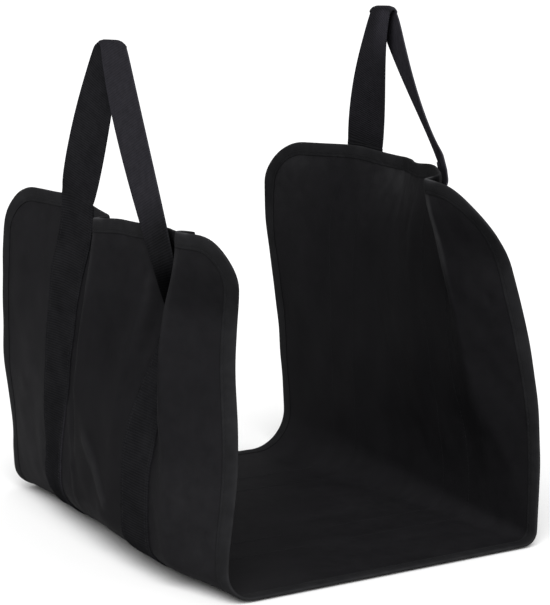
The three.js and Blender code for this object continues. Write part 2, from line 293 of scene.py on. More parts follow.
# Soft waves all over the cloth: height, turns in each metre across and down, and phase.
WAVES = [(0.6, 10.3, 5.5, 0.3), (0.45, 16.4, -7.1, 1.1), (0.3, 4.8, 13.7, 2.0), (0.18, 31.0, 19.0, 0.7)]

# Puckers beside the bound edge and beside the webbing: height, distance in from the edge or off the
# webbing's middle line, and spread. They follow one another at a pitch that wanders a little.
EDGE_PUCKERS = (0.22, 15.0, 7.0)
STRAP_PUCKERS = (0.2, 27.0, 5.0)
PUCKER_PITCH = 11.0
PUCKER_WANDER = 2.0  # in radians
PUCKER_DRIFT = 23.0
WEBBING_AT = 100.0  # distance of each strap's middle line from the panel's
RELIEF_FADE = (265.0, 335.0)  # distances down between which the relief dies away above the floor


def inset_at(down, across):
    """Distances in from the panel's nearest edge."""
    return np.minimum(down, edge_at(down) - np.abs(across))


def crease_share(start, end, half_width, down, across):
    """One along the middle of a crease, and falling to zero within a few half widths of it."""
    run = np.subtract(end, start)
    share = ((down - start[0]) * run[0] + (across - start[1]) * run[1]) / (run @ run)
    share = np.clip(share, 0.0, 1.0)
    away = np.hypot(down - start[0] - share * run[0], across - start[1] - share * run[1])
    return near(away, half_width)


def relief(wall, down, across):
    """Height of the cloth's waves, creases and seam puckers, towards the outside of the U."""
    height = np.zeros(np.shape(down))
    for rise, turns_across, turns_down, phase in WAVES:
        turn = (across * turns_across + down * turns_down) * 2 * math.pi * MM
        height = height + rise * np.sin(turn + phase * wall["faces"])
    for start, end, rise, half_width in wall["creases"]:
        height = height + rise * crease_share(start, end, half_width, down, across)
    ripple = (np.abs(across) + down) * 2 * math.pi / PUCKER_PITCH
    ripple = ripple + PUCKER_WANDER * np.sin((across - down) / PUCKER_DRIFT)
    from_strap = np.abs(np.abs(across) - WEBBING_AT)
    for distance, puckers in ((inset_at(down, across), EDGE_PUCKERS), (from_strap, STRAP_PUCKERS)):
        rise, place, spread = puckers
        height = height + rise * np.sin(ripple) * near(distance - place, spread)
    return height * (1.0 - fade(down, *RELIEF_FADE))


def cloth(wall, down, across, out=0.0):
    """Places on the cloth, or off it by a distance towards its outside."""
    down, across = np.broadcast_arrays(np.asarray(down, float), np.asarray(across, float))
    lift = np.asarray(out + relief(wall, down, across))[..., None]
    return smooth_cloth(wall, down, across) + cloth_normal(wall, down, across) * lift


# Wear of the cloth, with painted light and shade. The crests of folds and the border beside the binding are
# paler most at the top, from rubbing and from painted light, and their pairs are the distances down between
# which that is lost.
SHARP_TURN = 0.65  # turn of the cloth, as a sine, at which a crest is paled all over, by wear and a painted highlight
CREST_STEP = 3.0  # distance across over which the turn is felt
CREST_DOWN = (25.0, 140.0)
CREST_LOSS = 0.9  # share of a crest's wear and painted highlight that is lost below
PALE_BORDER = 12.0  # inset up to which the cloth beside the edge is paler all over, rubbed and painted lighter
PALE_SPREAD = 30.0
PALE_DOWN = (50.0, 160.0)
PALE_CREASE_RISE = 1.5  # height from which a crease is paled by wear and a painted highlight
CREASE_WEAR_AND_HIGHLIGHT = 0.9  # wear and painted highlight along a crease, for each millimetre that it stands higher than that
HIDDEN_FACING = (0.5, 0.15)  # how far cloth faces sideways out of the U, from open to hidden in a pleat, where shade is painted on it
FLOOR_FACING = (0.0, 0.3)  # how far it faces down, from a wall to the floor's bend, where no shade is painted


def crest_wear_and_highlight(wall, down, across, step):
    """Near one along the crests of the folds, which stand outwards on the left wall and inwards on the
    right one; there the cloth is paled by wear and by a painted highlight."""
    ahead, behind = cloth_normal(wall, down, across + step), cloth_normal(wall, down, across - step)
    turn = ahead[..., 0] * behind[..., 1] - ahead[..., 1] * behind[..., 0]
    return fade(turn, 0.0, SHARP_TURN)


def inside_fold(wall, down, across):
    """Near one where the cloth runs in or out so steeply that it lies hidden inside a pleat: there shade is
    painted on it.
    """
    outwards = cloth_normal(wall, down, across)
    painted_shade = fade(wall["faces"] * outwards[..., 0], *HIDDEN_FACING)
    return painted_shade * (1.0 - fade(np.abs(outwards[..., 2]), *FLOOR_FACING))


def cloth_wear_and_painted_light(wall, down, across):
    """Above zero where the cloth is paler, from rubbed finish and from painted light and highlights, and
    below zero where shade is painted, inside the folds and in dark patches.
    """
    past_border = np.maximum(inset_at(down, across) - PALE_BORDER, 0.0)
    # Paler beside the bound edge near the top: rubbed, with painted light.
    beside_edge = wall["rubbed_and_lit"] * near(past_border, PALE_SPREAD) * (1.0 - fade(down, *PALE_DOWN))
    # Paler crests, from wear and a painted highlight.
    crest = wall["crests"] * crest_wear_and_highlight(wall, down, across, CREST_STEP)
    crest = crest * (1.0 - CREST_LOSS * fade(down, *CREST_DOWN))
    # Shade is painted inside the pleats.
    wear_and_painted_light = np.maximum(crest, beside_edge) - inside_fold(wall, down, across)
    # Paler along the higher creases, from wear and a painted highlight.
    for start, end, rise, half_width in wall["creases"]:
        rubbed_and_lit = CREASE_WEAR_AND_HIGHLIGHT * max(rise - PALE_CREASE_RISE, 0.0)
        wear_and_painted_light = wear_and_painted_light + rubbed_and_lit * crease_share(start, end, half_width, down, across)
    # Patches of painted light, and of painted shade where the amount is below zero.
    for (patch_down, patch_across), reach, amount in wall["patches"]:
        wear_and_painted_light = wear_and_painted_light + amount * near(np.hypot(down - patch_down, across - patch_across), reach)
    return wear_and_painted_light


def drawn_in(column, down):
    """A column's place across the panel, drawn in towards the rounded corners."""
    plain = ZONE_STARTS["front_fold"] - FOLD_TURN / 2
    past = np.maximum(np.abs(column) + plain, 0.0)
    return np.sign(column) * (np.abs(column) - past + past * (edge_at(down) + plain) / (HALF_WIDTH + plain))


CORNER_DOWNS = CORNER * (1 - np.cos(np.radians(np.arange(0, 90, 7.5))))
ROW_STEP = 3.6
COLUMN_STEP = 3.0
FLOOR_ROWS_FROM = 390.0  # from here down the rows close up evenly to the floor's middle line


def wall_rows(wall):
    """Distances down a wall of the cloth's rows, each a function of the place across."""
    straight = np.arange(CORNER, FLOOR_ROWS_FROM, ROW_STEP)
    rows = [lambda across, d=down: d + 0.0 * across for down in (*CORNER_DOWNS, *straight)]
    for share in np.linspace(0, 1, int((wall["run"] - FLOOR_ROWS_FROM) / ROW_STEP))[:-1]:
        rows.append(
            lambda across, s=share: FLOOR_ROWS_FROM + (run_at(wall, across) - FLOOR_ROWS_FROM) * s
        )
    return rows


SMOOTH_ANGLE = 50.0  # sharper edges than this stay hard
BORDER_ANGLE = 60.0  # sharper edges than this count as a sheet's border


def sheet_object(name, points, uvs, wear_and_painted_light, thick, rounding=0.0):
    """A sheet shaped from a grid of places on its middle, with its pattern's UVs, its wear with the light
    and shade painted on it, and its thickness. Rows that end where they start are joined, and a rounding
    bevels the sheet's borders."""
    rows, columns = points.shape[:2]
    bpy.ops.object.select_all(action="DESELECT")
    bpy.ops.mesh.primitive_grid_add(x_subdivisions=columns - 1, y_subdivisions=rows - 1, size=2)
    piece = bpy.context.object
    piece.name = piece.data.name = name
    mesh = piece.data
    flat = np.empty(len(mesh.vertices) * 3)
    mesh.vertices.foreach_get("co", flat)
    flat = flat.reshape(-1, 3)
    column = np.rint((flat[:, 0] + 1) / 2 * (columns - 1)).astype(int)
    row = np.rint((flat[:, 1] + 1) / 2 * (rows - 1)).astype(int)
    mesh.vertices.foreach_set("co", (points[row, column] * MM).ravel())
    corners = np.empty(len(mesh.loops), int)
    mesh.loops.foreach_get("vertex_index", corners)
    mesh.uv_layers[0].data.foreach_set("uv", uvs[row, column][corners].ravel())
    # The attribute holds wear together with painted light and painted shade.
    worn_and_lit = mesh.attributes.new("wear_and_painted_light", "FLOAT", "POINT")
    worn_and_lit.data.foreach_set("value", wear_and_painted_light[row, column].ravel())
    bpy.ops.object.mode_set(mode="EDIT")
    bpy.ops.mesh.select_all(action="SELECT")
    bpy.ops.mesh.remove_doubles(threshold=1e-6)
    bpy.ops.object.mode_set(mode="OBJECT")
    thickness = piece.modifiers.new("thickness", "SOLIDIFY")
    thickness.thickness = thick * MM
    thickness.offset = 0
    bpy.ops.object.modifier_apply(modifier=thickness.name)
    if rounding:
        border = piece.modifiers.new("rounding", "BEVEL")
        border.width = rounding * MM
        border.segments = 2
        border.limit_method = "ANGLE"
        border.angle_limit = math.radians(BORDER_ANGLE)
        bpy.ops.object.modifier_apply(modifier=border.name)
    bpy.ops.object.mode_set(mode="EDIT")
    bpy.ops.mesh.select_all(action="SELECT")
    bpy.ops.mesh.normals_make_consistent(inside=False)
    bpy.ops.object.mode_set(mode="OBJECT")
    bpy.ops.object.shade_smooth_by_angle(angle=math.radians(SMOOTH_ANGLE))
    return piece


def panel_grid():
    """Places on the middle of the cloth, from the left wall's top over the floor to the right wall's top,
    with its UVs and its wear and painted light and shade."""
    columns = np.linspace(-HALF_WIDTH, HALF_WIDTH, int(PANEL_WIDTH / COLUMN_STEP) + 1)
    points, uvs, wear_and_painted_light = [], [], []

    def add(wall, row):
        across = drawn_in(columns, row(columns))
        down = row(across)
        points.append(cloth(wall, down, across))
        along = down if wall["faces"] < 0 else PANEL_LENGTH - down
        uvs.append(np.stack([across / PANEL_WIDTH + 0.5, along / PANEL_LENGTH], axis=-1))
        wear_and_painted_light.append(cloth_wear_and_painted_light(wall, down, across))

    left, right = WALLS["left"], WALLS["right"]
    for row in wall_rows(left):
        add(left, row)
    add(left, lambda across: run_at(left, across))
    for row in reversed(wall_rows(right)):
        add(right, row)
    return np.array(points), np.array(uvs), np.array(wear_and_painted_light)


panel = sheet_object("panel_cloth", *panel_grid(), PANEL_THICK)


class Shade:
    """A socket in a material's nodes. Sums and products with it add Math nodes."""

    def __init__(self, tree, socket=None):
        self.tree = tree
        self.socket = socket

    def node(self, kind, settings=None, inputs=None, output=0):
        """A new node's output, with its settings made first and then its sockets' values or links."""
        made = self.tree.nodes.new(kind)
        for name, value in (settings or {}).items():
            setattr(made, name, value)
        for name, value in (inputs or {}).items():
            if isinstance(value, Shade):
                self.tree.links.new(value.socket, made.inputs[name])
            else:
                made.inputs[name].default_value = value
        return Shade(self.tree, made.outputs[output])

    def math(self, operation, *values):
        return self.node("ShaderNodeMath", {"operation": operation}, dict(enumerate(values)))

    def __add__(self, other):
        return self.math("ADD", self, other)

    def __sub__(self, other):
        return self.math("SUBTRACT", self, other)

    def __rsub__(self, other):
        return self.math("SUBTRACT", other, self)

    def __mul__(self, other):
        return self.math("MULTIPLY", self, other)

    __radd__ = __add__
    __rmul__ = __mul__

    def sine(self):
        return self.math("SINE", self)

    def mix(self, low, high):
        """A colour between two others, by this value."""
        settings = {"data_type": "RGBA", "clamp_factor": True}
        return self.node("ShaderNodeMix", settings, {0: self, 6: low, 7: high}, output=2)


def cloth_material(name, specular):
    """A new material with its Principled node, and a start for its shader maths."""
    material = bpy.data.materials.new(name)
    material.use_nodes = True
    tree = material.node_tree
    surface = tree.nodes["Principled BSDF"]
    surface.inputs["Specular IOR Level"].default_value = specular
    return material, surface, Shade(tree)


def link(surface, name, value):
    value.tree.links.new(value.socket, surface.inputs[name])


def pattern_places(start, width, length):
    """Millimetres across and along a piece's flat pattern, from its UV map."""
    uv = start.node("ShaderNodeUVMap")
    split = {"Vector": uv}
    across = start.node("ShaderNodeSeparateXYZ", None, split, output="X")
    along = start.node("ShaderNodeSeparateXYZ", None, split, output="Y")
    return across * width, along * length


CANVAS_DARK = (0.0058, 0.0057, 0.0063, 1)
CANVAS_LIGHT = (0.0108, 0.0105, 0.0116, 1)
# Colour of rubbed canvas, also used for the light painted on it.
CANVAS_WORN_AND_LIT = (0.03, 0.03, 0.0315, 1)
# Near black, painted as shade into pleats, pockets and the borders of grooves.
PAINTED_SHADE_COLOUR = (0.0005, 0.0005, 0.0006, 1)
CANVAS_ROUGHNESS = 0.62
CLOTH_SHEEN = 0.01
YARN = 0.62  # pitch of the canvas's yarns


def blotches(start, place, scale, contrast):
    """Noise about zero, at a scale in turns for each unit of the place."""
    noise = start.node("ShaderNodeTexNoise", None, {"Vector": place, "Scale": scale, "Detail": 4.0})
    return (noise - 0.5) * contrast


def tinted(start, base, worn_and_lit, patchy):
    """A cloth's colour: paler where its value is above zero, from wear and painted light, and blacker with
    painted shade where it is below.
    """
    wear_and_painted_light = start.node("ShaderNodeAttribute", {"attribute_name": "wear_and_painted_light"}, None, output="Fac")
    # Painted shade where the value is below zero.
    painted_shade = (wear_and_painted_light * -1.0).mix(base, PAINTED_SHADE_COLOUR)
    # Wear and painted light where the value is above zero.
    return (wear_and_painted_light * patchy).mix(painted_shade, worn_and_lit)


def woven(start, surface, height, strength, depth):
    """Relief of a weave, with its depth in millimetres."""
    inputs = {"Height": height, "Strength": strength, "Distance": depth * MM}
    link(surface, "Normal", start.node("ShaderNodeBump", None, inputs))


def canvas_material():
    material, surface, start = cloth_material("waxed_canvas", CLOTH_SHEEN)
    across, along = pattern_places(start, PANEL_WIDTH, PANEL_LENGTH)
    place = start.node("ShaderNodeTexCoord", None, None, output="Object")
    streak_place = start.node("ShaderNodeCombineXYZ", None, {"X": across * 0.045, "Y": along * 0.006})
    mottle = blotches(start, place, 85.0, 1.0)
    tone = blotches(start, place, 15.0, 0.9) + mottle * 0.7 + blotches(start, streak_place, 1.0, 0.5)
    base = (tone + 0.5).mix(CANVAS_DARK, CANVAS_LIGHT)
    patchy = blotches(start, place, 38.0, 1.0) + mottle * 0.7 + 0.5
    link(surface, "Base Color", tinted(start, base, CANVAS_WORN_AND_LIT, patchy))
    link(surface, "Roughness", mottle * 0.25 + CANVAS_ROUGHNESS)
    weave = (across * (math.pi / YARN)).sine() * (along * (math.pi / YARN)).sine()
    slub = blotches(start, place, 420.0, 1.0)
    height = weave * 0.5 + slub * 1.2 + blotches(start, place, 130.0, 1.0) * 1.5
    woven(start, surface, height, 0.4, 0.3)
    return material


panel.data.materials.append(canvas_material())
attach(panel, "root")
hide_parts("canvas_panel")

# Edge binding: plain woven tape folded over the whole edge of the sheet and stitched through, so it stands
# a little proud of the canvas on both faces and rolls round its rim.
TAPE_REACH = 13.0
TAPE_THICK = 0.6
TAPE_GAP = 0.1
TAPE_OUT = PANEL_THICK / 2 + TAPE_GAP + TAPE_THICK / 2
TAPE_WIDTH = 2 * TAPE_REACH + math.pi * TAPE_OUT
TAPE_SWELL = 0.4
TAPE_SUNK = 0.3  # how far the tape's border is drawn down into the canvas
STITCH_INSET = 10.4
SEAM_DEPTH = 0.22  # depth of the groove that the stitches press into the tape
SEAM_SPREAD = 0.9


def tape_profile():
    """Insets from the panel's edge and distances out of the cloth, from the tape's outer border over its
    rim to its inner border."""
    beside_seam = np.linspace(TAPE_REACH, STITCH_INSET - 2, 9)
    insets = np.concatenate([beside_seam, np.linspace(STITCH_INSET - 3.5, 0.3, 5)])
    swell = TAPE_SWELL * np.sin(math.pi * np.clip((STITCH_INSET - insets) / STITCH_INSET, 0.0, 1.0))
    pressed = SEAM_DEPTH * near(insets - STITCH_INSET, SEAM_SPREAD)
    sunk = TAPE_SUNK * fade(insets, STITCH_INSET, TAPE_REACH)
    outs = TAPE_OUT + swell - pressed - sunk
    turns = np.radians(np.arange(60, -61, -30))
    rim_insets = insets[-1] - TAPE_OUT * np.cos(turns)
    rim_outs = TAPE_OUT * np.sin(turns)
    return np.concatenate([insets, rim_insets, insets[::-1]]), np.concatenate([outs, rim_outs, -outs[::-1]])


def edge_stations():
    """Stations round the panel's edge, each a function from an inset to a place on a wall."""
    left, right = WALLS["left"], WALLS["right"]
    tops = np.linspace(-CORNER_CENTRE, CORNER_CENTRE, 140)
    turns = np.radians(np.arange(6, 90, 6))

    def top(wall, across):
        return lambda inset: (wall, inset, across + 0.0 * inset)

    def corner(wall, side, turn):
        return lambda inset: (
            wall,
            CORNER - (CORNER - inset) * math.cos(turn),
            side * (CORNER_CENTRE + (CORNER - inset) * math.sin(turn)),
        )

    def side_run(wall, side, row):
        return lambda inset: (wall, row(side * (HALF_WIDTH - inset)), side * (HALF_WIDTH - inset))

    def side_stations(side):
        count = len(CORNER_DOWNS)
        down_left = [side_run(left, side, row) for row in wall_rows(left)[count:]]
        middle = [side_run(left, side, lambda across: run_at(left, across))]
        up_right = [side_run(right, side, row) for row in reversed(wall_rows(right)[count:])]
        return down_left + middle + up_right

    return (
        [top(left, across) for across in tops]
        + [corner(left, 1, turn) for turn in turns]
        + side_stations(1)
        + [corner(right, 1, turn) for turn in turns[::-1]]
        + [top(right, across) for across in tops[::-1]]
        + [corner(right, -1, turn) for turn in turns]
        + side_stations(-1)[::-1]
        + [corner(left, -1, turn) for turn in turns[::-1]]
    )


# Wear and painted light and shade of the tape: how pale its rim is where it lies straight, from wear with a
# painted highlight, how dark its borders are painted as the shade of their grooves, and how far both spread
# over its width. The folds that pale the rim, and whose pleats are painted in shade on the tape, are felt at
# one inset, over a distance to each side.
RIM_WEAR_AND_HIGHLIGHT = 0.15
RIM_SPREAD = 2.4
BORDER_SHADE = 0.6
BORDER_SPREAD = 0.8
FOLD_INSET = 8.0
FOLD_STEP = 13.0


def binding_grid():
    """Places on the middle of the tape all round the panel, with its UVs and its wear and painted light and
    shade.
    """
    insets, outs = tape_profile()
    stations = edge_stations()
    stations.append(stations[0])
    points = np.array([cloth(*station(insets), outs) for station in stations])
    steps = np.linalg.norm(np.diff(points[:, 0], axis=0), axis=-1)
    along = np.concatenate([[0.0], np.cumsum(steps)])
    over = np.linspace(0, TAPE_WIDTH, len(insets))
    uvs = np.stack(np.broadcast_arrays(over[None, :], along[:, None]), axis=-1)
    rim = near(over - TAPE_WIDTH / 2, RIM_SPREAD)
    border = near(np.minimum(over, TAPE_WIDTH - over), BORDER_SPREAD)
    places = [station(np.array([FOLD_INSET])) for station in stations]
    crests = np.array([crest_wear_and_highlight(*place, FOLD_STEP) for place in places])
    folds = np.array([inside_fold(*place) for place in places])
    # The rim is paler from wear and a painted highlight; painted shade darkens the tape's borders and the
    # tape inside a pleat.
    wear_and_painted_light = rim * (RIM_WEAR_AND_HIGHLIGHT + crests) - BORDER_SHADE * border - folds * (1 - rim)
    return points, uvs, wear_and_painted_light


binding = sheet_object("binding_tape", *binding_grid(), TAPE_THICK)

TAPE_DARK = (0.008, 0.008, 0.0086, 1)
TAPE_LIGHT = (0.014, 0.014, 0.015, 1)
# Colour of worn tape, also used for the highlight painted on its rim.
TAPE_WORN_AND_LIT = (0.06, 0.06, 0.063, 1)
TAPE_ROUGHNESS = 0.6
TAPE_RIB = 0.9  # pitch of the tape's ribs along it
TAPE_WARP = 1.3  # pitch of its threads across it


def tape_material():
    material, surface, start = cloth_material("binding_tape", CLOTH_SHEEN)
    across, along = pattern_places(start, 1.0, 1.0)
    place = start.node("ShaderNodeTexCoord", None, None, output="Object")
    mottle = blotches(start, place, 120.0, 1.2)
    base = (blotches(start, place, 30.0, 1.2) + mottle * 0.6 + 0.5).mix(TAPE_DARK, TAPE_LIGHT)
    link(surface, "Base Color", tinted(start, base, TAPE_WORN_AND_LIT, mottle + 0.6))
    link(surface, "Roughness", mottle * 0.2 + TAPE_ROUGHNESS)
    ribs = (along * (2 * math.pi / TAPE_RIB)).sine()
    warp = (across * (2 * math.pi / TAPE_WARP)).sine()
    woven(start, surface, ribs + warp * 0.5, 0.3, 0.2)
    return material


binding.data.materials.append(tape_material())
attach(binding, "root")
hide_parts("edge_binding")

# Binding stitches: bonded black thread, sewn through tape and canvas in one row all round the edge, so it
# shows on both faces. Each stitch is a short thread that dips into the cloth at both ends.
STITCH_LENGTH = 2.9
STITCH_PITCH = 4.4
THREAD = 0.5
STITCH_SUNK = 0.15  # how far the stitches sink into the tape


def stitched(name, rows):
    """Stitches in one mesh, along rows of places and of the directions out of the cloth there. Each is a
    short thread that thins and closes at both ends."""
    middles, alongs, outs = [], [], []
    for places, outwards in rows:
        steps = np.linalg.norm(np.diff(places, axis=0), axis=-1)
        lengths = np.concatenate([[0.0], np.cumsum(steps)])
        at = np.arange(STITCH_PITCH / 2, lengths[-1], STITCH_PITCH)
        ends = []
        for shift in (-STITCH_LENGTH / 2, STITCH_LENGTH / 2):
            ends.append(np.stack([np.interp(at + shift, lengths, places[:, k]) for k in range(3)], axis=-1))
        middles.append((ends[0] + ends[1]) / 2)
        alongs.append(unit(ends[1] - ends[0]))
        outs.append(np.stack([np.interp(at, lengths, outwards[:, k]) for k in range(3)], axis=-1))
    middles, alongs, outs = (np.concatenate(values)[:, None, None] for values in (middles, alongs, outs))
    sideways = unit(np.cross(alongs, outs))
    outs = np.cross(sideways, alongs)
    turns = np.radians(np.arange(0, 360, 60))[None, None, :, None]
    reach = np.array([-0.5, -0.36, 0.36, 0.5])[None, :, None, None] * STITCH_LENGTH
    size = np.array([0.3, 1.0, 1.0, 0.3])[None, :, None, None] * THREAD / 2
    points = middles + alongs * reach + size * (sideways * np.cos(turns) + outs * np.sin(turns))
    count, rings, sides = points.shape[:3]
    faces = []
    for first in range(0, count * rings * sides, rings * sides):
        faces.append([first + side for side in reversed(range(sides))])
        faces.append([first + (rings - 1) * sides + side for side in range(sides)])
        for ring in range(rings - 1):
            low = first + ring * sides
            for side in range(sides):
                after = (side + 1) % sides
                faces.append([low + side, low + after, low + sides + after, low + sides + side])
    mesh = bpy.data.meshes.new(name)
    mesh.from_pydata((points * MM).reshape(-1, 3).tolist(), [], faces)
    piece = bpy.data.objects.new(name, mesh)
    bpy.context.collection.objects.link(piece)
    bpy.ops.object.select_all(action="DESELECT")
    bpy.context.view_layer.objects.active = piece
    piece.select_set(True)
    bpy.ops.object.mode_set(mode="EDIT")
    bpy.ops.mesh.select_all(action="SELECT")
    bpy.ops.mesh.normals_make_consistent(inside=False)
    bpy.ops.object.mode_set(mode="OBJECT")
    bpy.ops.object.shade_smooth_by_angle(angle=math.radians(SMOOTH_ANGLE))
    return piece


def binding_rows():
    """Rows of stitches through the binding, on its outer and its inner face."""
    places = [station(np.array([STITCH_INSET])) for station in edge_stations()]
    outwards = np.array([cloth_normal(*place)[0] for place in places])
    rise = TAPE_OUT + TAPE_THICK / 2 - STITCH_SUNK
    rows = []
    for face in (1, -1):
        row = np.array([cloth(*place, face * rise)[0] for place in places])
        rows.append((row, face * outwards))
    return rows


thread_material, thread_surface, _ = cloth_material("bonded_thread", 0.02)
thread_surface.inputs["Base Color"].default_value = (0.0115, 0.0115, 0.0125, 1)
thread_surface.inputs["Roughness"].default_value = 0.5
binding_stitches = stitched("binding_stitches", binding_rows())
binding_stitches.data.materials.append(thread_material)
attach(binding_stitches, "root")

# Webbing straps: ribbed woven webbing sewn flat to the outside of the sheet, from under its floor up each
# wall. Above the top edge each runs on as a free leg, and it is turned over at the top to make the handle.
WEBBING_WIDTH = 50.0
WEBBING_THICK = 1.4
WEBBING_GAP = 0.05
WEBBING_RISE = PANEL_THICK / 2 + WEBBING_GAP + WEBBING_THICK / 2
WEBBING_STEP = 3.0
TAPE_STEP = 1.3  # how much further out the webbing lies where it crosses the binding
FLOOR_SLACK = 0.6  # how much further out it lies under the floor, where it rests on the ground
FLOOR_SLACK_DOWN = (300.0, 360.0)
MIDDLE_GAP = 0.1  # how far short of the floor's middle line each strap ends
BULGE_DOWN = 6.0
BULGE_SPREAD = 16.0

# Columns across the webbing, closer together at its borders.
EDGES = WEBBING_WIDTH / 2 * np.array([-1, -0.944, -0.84, -0.56, -0.28, 0, 0.28, 0.56, 0.84, 0.944, 1])

# Top is where the handle's crease lies, roll its radius, heading its direction in degrees and skew how far
# it carries the rear leg rearwards. A leg leaves the cloth at a distance down from the top edge, below zero
# where it first stands up past the bound edge, and it keeps the seam's direction over the stiff share of
# its length. Draw is how far sideways it is pulled where it leaves the cloth, lean how much more it slopes
# at the top than its two ends do, and swing how many degrees its middle turns outwards. Next come the
# painted sheen, which paints the free leg paler for the light it catches; the paling of its strap's front
# edge low on the wall, from wear with a painted highlight; held, how much hands have paled its front edge
# near the top; and bulge, how far the strap stands off the cloth just below the bound edge.
HANDLES = {
    "left": {
        "top": np.array([-158.7, 0.0, 479.0]),
        "roll": 2.0,
        "heading": 0.0,
        "skew": 15.0,
        "front": {
            "seam_end": 76.0,
            "stiff": 0.6,
            "draw": 55.0,
            "lean": 0.85,
            "swing": 11.0,
            "painted_sheen": 1.0,
            "rubbed_and_lit": 0.0,
            "held": 0.0,
            "bulge": 0.0,
        },
        "rear": {
            "seam_end": -3.0,
            "stiff": 0.05,
            "draw": 0.0,
            "lean": 1.25,
            "swing": 9.0,
            "painted_sheen": 0.15,
            "rubbed_and_lit": 0.5,
            "held": 0.0,
            "bulge": 0.0,
        },
    },
    "right": {
        "top": np.array([158.3, 17.0, 509.0]),
        "roll": 2.2,
        "heading": 13.0,
        "skew": 0.0,
        "front": {
            "seam_end": -3.0,
            "stiff": 0.05,
            "draw": 0.0,
            "lean": 0.6,
            "swing": 7.0,
            "painted_sheen": 1.3,
            "rubbed_and_lit": 0.0,
            "held": 0.0,
            "bulge": 5.0,
        },
        "rear": {
            "seam_end": -3.0,
            "stiff": 0.3,
            "draw": 0.0,
            "lean": 0.8,
            "swing": 0.0,
            "painted_sheen": 0.5,
            "rubbed_and_lit": 0.0,
            "held": 1.1,
            "bulge": 0.0,
        },
    },
}
LEG_TWIST = 2  # how late a leg turns from the cloth's plan to the crease at the top, as a power
CREASE_DROOP = 3.6  # how far the two ends of the crease droop, where the webbing curls over
CREASE_CURL = 6  # how close to the ends the droop keeps, as a power
CREASE_REACH = 16.0  # how far down the legs the droop carries


def webbing_rise(down, bulge):
    """Distances of the webbing's middle out of the cloth's."""
    over_tape = TAPE_STEP * fade(down, CORNER, TAPE_REACH)
    bulged = bulge * near(down - BULGE_DOWN, BULGE_SPREAD)
    return WEBBING_RISE + over_tape + bulged + FLOOR_SLACK * fade(down, *FLOOR_SLACK_DOWN)


def sewn_rows(wall, centre, leg):
    """Rows of the sewn stretch, from the floor's middle line up to the end of the seam."""
    across = centre + EDGES
    bottom = run_at(wall, across) - MIDDLE_GAP
    seam_end = leg["seam_end"]
    count = int((wall["run"] - seam_end) / WEBBING_STEP)
    downs = [bottom + (seam_end - bottom) * share for share in np.linspace(0, 1, count)]
    return np.array([cloth(wall, down, across, webbing_rise(down, leg["bulge"])) for down in downs])


def turned(vectors, axis, angle):
    """Vectors turned about an axis."""
    return (
        vectors * np.cos(angle)
        + np.cross(axis, vectors) * np.sin(angle)
        + axis * np.sum(axis * vectors, axis=-1, keepdims=True) * (1 - np.cos(angle))
    )


def leg_rows(wall, sewn, top, leg):
    """Rows of a free leg, from the end of its seam up to the turn at the top of the handle, and how far
    each point lies ahead of its row's middle where the rows turn level with the crease."""
    middle = len(EDGES) // 2
    start, end = sewn[-1][middle], top[middle]
    length = np.linalg.norm(end - start)
    slope = leg["lean"] * (end[1] - start[1]) / (end[2] - start[2])
    leave = unit(start - sewn[-5][middle]) * leg["stiff"] * length
    leave[0] += wall["faces"] * leg["draw"]
    arrive = unit(np.array([0.0, slope, 1.0])) * length
    t = np.linspace(0, 1, int(length / WEBBING_STEP))[1:-1, None]
    centre = hermite(t, start, leave, end, arrive)
    ahead = hermite(t + 0.01, start, leave, end, arrive)
    behind = hermite(t - 0.01, start, leave, end, arrive)
    upwards = unit(ahead - behind)
    share = smooth(t) ** LEG_TWIST
    over = (sewn[-1][-1] - sewn[-1][0]) * (1 - share) + (top[-1] - top[0]) * share
    over = unit(over - upwards * np.sum(over * upwards, axis=-1, keepdims=True))
    over = turned(over, upwards, -wall["faces"] * math.radians(leg["swing"]) * np.sin(math.pi * t))
    lean = float(unit(arrive) @ unit(top[-1] - top[0]))
    bias = lean / math.sqrt(1 - lean**2)
    level = smooth(2 * t - 1)
    points = centre[:, None] + (over + upwards * bias * level)[:, None] * EDGES[None, :, None]
    return points, EDGES * bias * level


def roll_rows(wall, handle, front_end, rear_end):
    """Rows of the turn at the top of a handle, from the outer, front leg over to the inner, rear leg."""
    top, roll = handle["top"], handle["roll"]
    slope = (rear_end[1] - front_end[1]) / (2 * top[2] - front_end[2] - rear_end[2])
    swing = wall["faces"] * math.radians(handle["heading"])
    rearwards = np.array([math.sin(swing), math.cos(swing), 0.0])
    outwards = wall["faces"] * np.array([math.cos(swing), -math.sin(swing), 0.0])
    upwards = np.array([0.0, 0.0, 1.0])
    turn = np.linspace(0, math.pi, 13)[:, None, None]
    drift = (slope * roll + handle["skew"] / math.pi) * (turn - math.pi / 2)
    shift = EDGES[None, :, None] * math.hypot(1, slope) + drift
    return top + rearwards * shift + roll * (outwards * np.cos(turn) + upwards * np.sin(turn))


# Wear of a strap, with painted light and shade. The pairs are distances up from the end of its seam, or down
# from it for the rubbed edge, between which each mark comes or goes. The grip is measured down from the
# handle's top, and across.
PAINTED_SHEEN_OVER = 50.0  # distance above the panel's top edge over which a leg's painted sheen comes in
PLEAT_DARKENS = (-45.0, 0.0)
PLEAT_LIGHTENS = (35.0, 77.0)
PLEAT_SHADE = 0.9
PLEAT_SLOPE = 0.1  # how much darker the painted shade of the pleat is at the front edge, and lighter at the rear one
PALE_EDGE_STARTS = (190.0, 215.0)
PALE_EDGE_ENDS = (270.0, 300.0)
BORDER_WEAR = 0.12
BORDER_WIDTH = 1.2
BULGE_WEAR = 0.5  # for each millimetre of the bulge
GRIP_ENDS = (14.0, 50.0)
GRIP_ACROSS = (12.0, -12.0)


